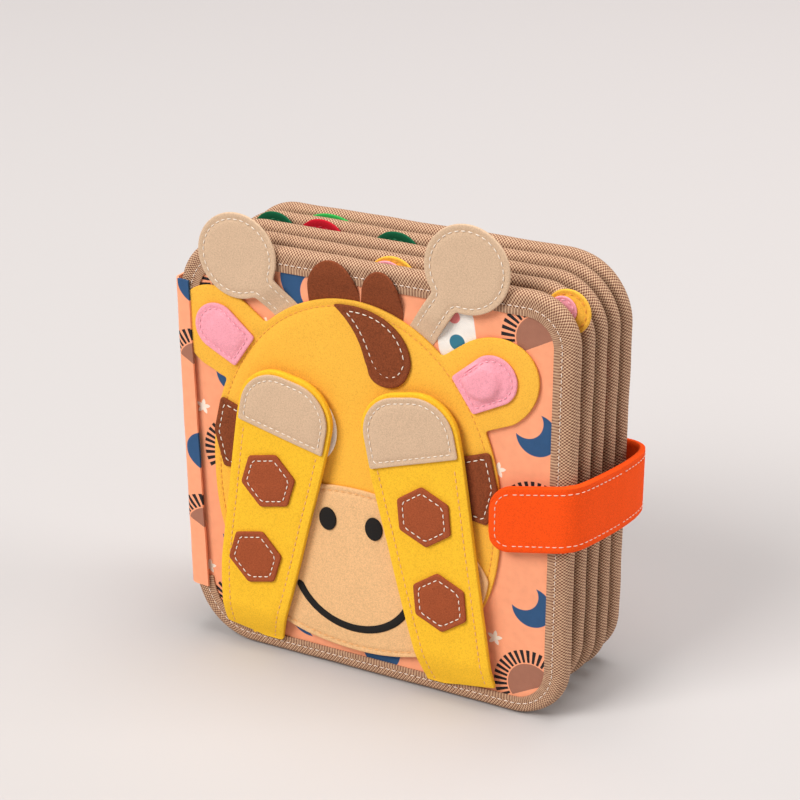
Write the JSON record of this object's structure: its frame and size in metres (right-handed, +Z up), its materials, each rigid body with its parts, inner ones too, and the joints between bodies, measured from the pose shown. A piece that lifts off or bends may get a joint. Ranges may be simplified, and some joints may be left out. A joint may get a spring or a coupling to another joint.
{
  "type": "soft activity book",
  "caption": "Soft felt activity book with padded, tape-bound leaves, a giraffe on the front cover whose arms fold down off its eyes, and a strap that closes the fore edge.",
  "frame": {"origin": "under the middle of the closed, standing book, on the surface it stands on", "axes": "+Z up along the spine; -Y is the side of the front cover; +X points from the spine to the fore edge"},
  "size_m": [0.2134, 0.0794, 0.2312],
  "materials": {
    "tape": "woven chevron braid in cream and rust, folded and sewn",
    "print": "printed cotton, peach with small motifs",
    "board": "stiff undyed padding, hidden",
    "lining": "plain cotton",
    "yellow_felt": "felt",
    "arm_felt": "felt",
    "muzzle_felt": "felt",
    "beige_felt": "felt",
    "pink_felt": "felt",
    "brown_felt": "felt",
    "rust_felt": "felt",
    "black_felt": "felt",
    "white_felt": "felt",
    "strap_felt": "felt",
    "hook_tape": "hook-and-loop tape",
    "blue_page": "felt",
    "cream_page": "felt",
    "green_page": "felt",
    "green_felt": "felt",
    "red_felt": "felt",
    "lime_felt": "felt"
  },
  "bodies": {
    "back_cover": {"back_cover_lining": "lining", "back_cover_board": "board", "back_cover_face": "print", "back_cover_binding": "tape", "back_cover_spine": "print", "back_cover_hill": "lime_felt", "strap_base": "strap_felt"},
    "page_3": {"page_3_panel": "green_page", "page_3_binding": "tape", "page_3_spine": "print", "page_3_left_tongue": "green_felt", "page_3_middle_tongue": "red_felt", "page_3_right_tongue": "green_felt"},
    "page_2": {"page_2_panel": "cream_page", "page_2_binding": "tape", "page_2_spine": "print"},
    "page_1": {"page_1_panel": "blue_page", "page_1_binding": "tape", "page_1_spine": "print", "page_1_animal_head": "yellow_felt", "page_1_animal_left_ear": "yellow_felt", "page_1_animal_right_ear": "yellow_felt", "page_1_animal_left_inner_ear": "pink_felt", "page_1_animal_right_inner_ear": "pink_felt"},
    "front_cover": {"front_cover_face": "print", "front_cover_board": "board", "front_cover_lining": "lining", "front_cover_binding": "tape", "front_cover_spine": "print", "giraffe_head": "yellow_felt", "giraffe_muzzle": "muzzle_felt", "giraffe_smile": "black_felt", "giraffe_forelock": "brown_felt", "left_horn": "beige_felt", "right_horn": "beige_felt", "left_mane_tuft": "brown_felt", "right_mane_tuft": "brown_felt", "left_inner_ear": "pink_felt", "right_inner_ear": "pink_felt", "left_side_patch": "brown_felt", "right_side_patch": "brown_felt", "left_nostril": "black_felt", "right_nostril": "black_felt", "left_eye": "white_felt", "right_eye": "white_felt", "strap_loop_pad": "hook_tape"},
    "left_arm": {"left_arm": "arm_felt", "left_hoof": "beige_felt", "left_upper_spot": "rust_felt", "left_lower_spot": "rust_felt", "left_hook_pad": "hook_tape"},
    "right_arm": {"right_arm": "arm_felt", "right_hoof": "beige_felt", "right_upper_spot": "rust_felt", "right_lower_spot": "rust_felt", "right_hook_pad": "hook_tape"},
    "strap": {"strap_side": "strap_felt"},
    "strap_end": {"strap_tip": "strap_felt", "strap_hook_pad": "hook_tape"}
  },
  "joints": [
    {"name": "page_3_hinge", "type": "hinge", "parent": "back_cover", "child": "page_3", "pos_m": [-0.10704, 0.0241, 0.1025], "axis": [0, 0, 1], "range_deg": [-90, 0]},
    {"name": "page_2_hinge", "type": "hinge", "parent": "page_3", "child": "page_2", "pos_m": [-0.10704, 0.0096, 0.1025], "axis": [0, 0, -1], "range_deg": [0, 90]},
    {"name": "page_1_hinge", "type": "hinge", "parent": "page_2", "child": "page_1", "pos_m": [-0.10704, -0.0049, 0.1025], "axis": [0, 0, 1], "range_deg": [-180, 0]},
    {"name": "front_cover_hinge", "type": "hinge", "parent": "page_1", "child": "front_cover", "pos_m": [-0.10704, -0.0194, 0.1025], "axis": [0, 0, -1], "range_deg": [0, 180]},
    {"name": "left_arm_hinge", "type": "hinge", "parent": "front_cover", "child": "left_arm", "pos_m": [-0.06874, -0.03585, 0.0087], "axis": [1, 0, 0], "range_deg": [0, 175]},
    {"name": "right_arm_hinge", "type": "hinge", "parent": "front_cover", "child": "right_arm", "pos_m": [0.04326, -0.03585, 0.0087], "axis": [1, 0, 0], "range_deg": [0, 175]},
    {"name": "strap_hinge", "type": "hinge", "parent": "back_cover", "child": "strap", "pos_m": [0.09326, 0.03815, 0.1], "axis": [0, 0, 1], "range_deg": [0, 175], "deforming": ["strap_side"]},
    {"name": "strap_tip_hinge", "type": "hinge", "parent": "strap", "child": "strap_end", "pos_m": [0.09326, -0.03495, 0.1], "axis": [0, 0, 1], "range_deg": [0, 90], "deforming": ["strap_tip", "strap_hook_pad"]}
  ],
  "couplings": [
    {"joint": "strap_tip_hinge", "follows": "strap_hinge", "ratio": 0.5}
  ]
}
